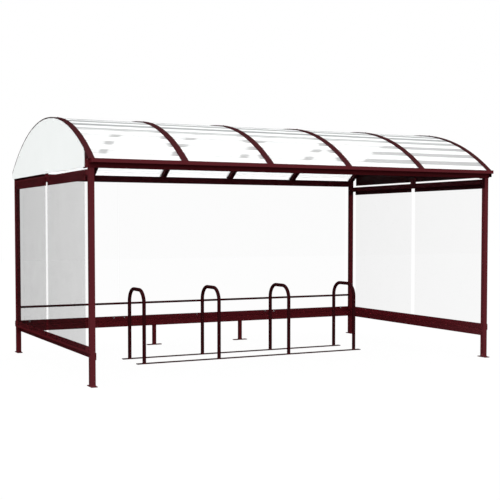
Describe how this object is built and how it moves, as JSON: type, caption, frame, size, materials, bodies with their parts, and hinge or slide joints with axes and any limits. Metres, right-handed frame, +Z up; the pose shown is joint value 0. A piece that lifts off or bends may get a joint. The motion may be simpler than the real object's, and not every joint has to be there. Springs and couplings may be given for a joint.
{
  "type": "three-sided glazed cycle shelter",
  "caption": "Open-fronted cycle shelter with glazed back and end walls, a barrel roof of pale fluted sheets on arched steel hoops, and a hoop rack standing inside.",
  "frame": {"origin": "on the ground in the middle of the plan", "axes": "+Z up, +X to the right along the shelter seen from its open front, +Y towards the back wall"},
  "size_m": [4.474, 2.844, 2.4854],
  "materials": {
    "wine_steel": "wine red satin powder coat",
    "wall_glazing": "clear polycarbonate",
    "roof_glazing": "pale fluted polycarbonate",
    "gable_sheet": "pale grey sheet"
  },
  "bodies": {
    "root": {"front_left_post": "wine_steel", "front_right_post": "wine_steel", "back_left_post": "wine_steel", "back_right_post": "wine_steel", "back_left_leg": "wine_steel", "back_right_leg": "wine_steel", "back_bottom_rail": "wine_steel", "left_bottom_rail": "wine_steel", "right_bottom_rail": "wine_steel", "back_guard_rail": "wine_steel", "front_eaves_beam": "wine_steel", "back_eaves_beam": "wine_steel", "left_top_rail": "wine_steel", "right_top_rail": "wine_steel", "left_head_strips": "wine_steel", "right_head_strips": "wine_steel", "back_head_strips": "wine_steel", "front_gutter": "wine_steel", "back_gutter": "wine_steel", "roof_capping_bars": "wine_steel", "gable_brackets": "wine_steel", "rack_front_floor_rail": "wine_steel", "rack_back_floor_rail": "wine_steel", "roof_hoop_1": "wine_steel", "roof_hoop_2": "wine_steel", "roof_hoop_3": "wine_steel", "roof_hoop_4": "wine_steel", "roof_hoop_5": "wine_steel", "roof_hoop_6": "wine_steel", "rack_hoop_1": "wine_steel", "rack_hoop_2": "wine_steel", "rack_hoop_3": "wine_steel", "rack_hoop_4": "wine_steel", "roof_sheet_1": "roof_glazing", "roof_sheet_2": "roof_glazing", "roof_sheet_3": "roof_glazing", "roof_sheet_4": "roof_glazing", "roof_sheet_5": "roof_glazing", "back_panel_left": "wall_glazing", "back_panel_middle": "wall_glazing", "back_panel_right": "wall_glazing", "left_panel_front": "wall_glazing", "left_panel_back": "wall_glazing", "right_panel_front": "wall_glazing", "right_panel_back": "wall_glazing", "left_gable_panel": "gable_sheet", "right_gable_panel": "gable_sheet"}
  },
  "joints": []
}
